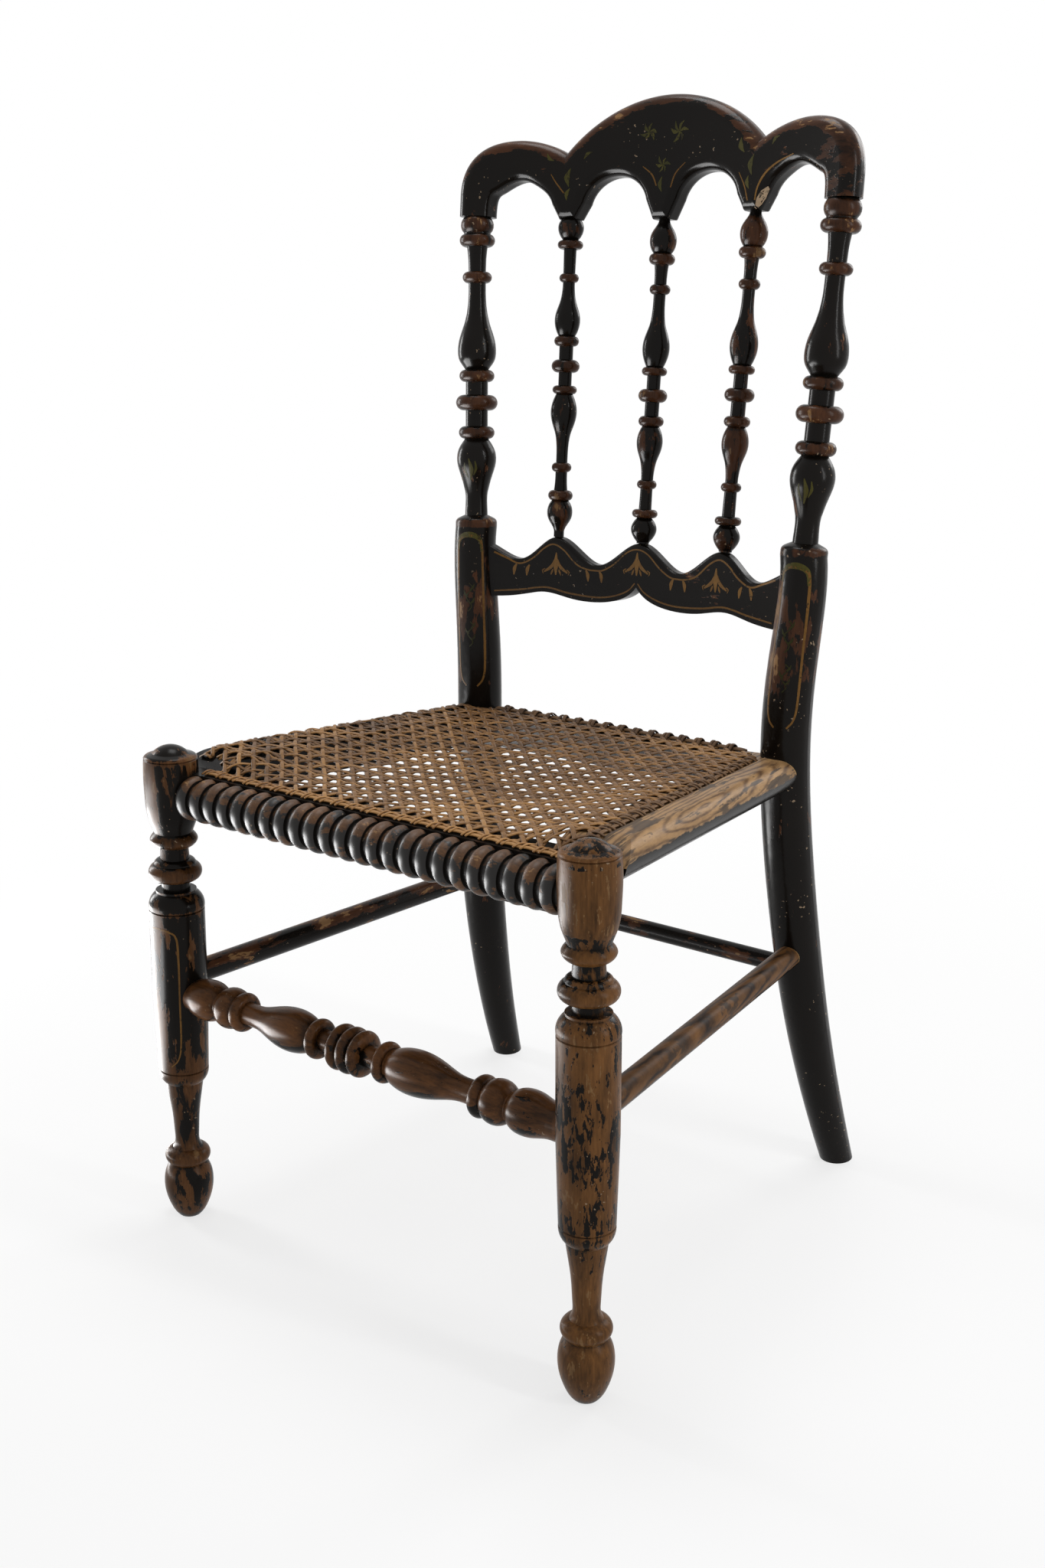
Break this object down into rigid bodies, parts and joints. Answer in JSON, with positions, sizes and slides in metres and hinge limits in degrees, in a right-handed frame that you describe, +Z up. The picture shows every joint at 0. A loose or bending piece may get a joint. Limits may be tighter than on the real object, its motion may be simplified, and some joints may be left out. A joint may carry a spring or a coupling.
{
  "type": "side chair",
  "caption": "Black-painted side chair with ring-turned frame, arched pierced crest rail, turned spindles, gold stencilling and a caned seat.",
  "frame": {"origin": "on the floor, in the middle of the footprint's bounding box", "axes": "+Z up, +Y towards the chair's back, +X towards the right as seen from the front"},
  "size_m": [0.464, 0.4576, 0.9227],
  "materials": {
    "black_paint": "glossy black paint over beech, worn brown on the edges",
    "worn_paint": "black paint worn down to brown wood",
    "cane": "aged rattan cane",
    "binder": "aged flat binder cane",
    "peg": "bare wood"
  },
  "bodies": {
    "root": {"crest_rail": "black_paint", "stay_rail": "black_paint", "back_post_left": "black_paint", "back_post_right": "black_paint", "spindle_left": "black_paint", "spindle_middle": "black_paint", "spindle_right": "black_paint", "front_leg_left": "black_paint", "front_leg_right": "worn_paint", "side_seat_rail_left": "black_paint", "side_seat_rail_right": "worn_paint", "front_seat_rail": "black_paint", "front_roll": "black_paint", "back_seat_rail": "black_paint", "front_stretcher": "black_paint", "side_stretcher_left": "black_paint", "side_stretcher_right": "worn_paint", "back_stretcher": "black_paint", "cane_panel": "cane", "binder_front": "binder", "binder_back": "binder", "binder_left": "binder", "binder_right": "binder", "cane_pegs": "peg"}
  },
  "joints": []
}
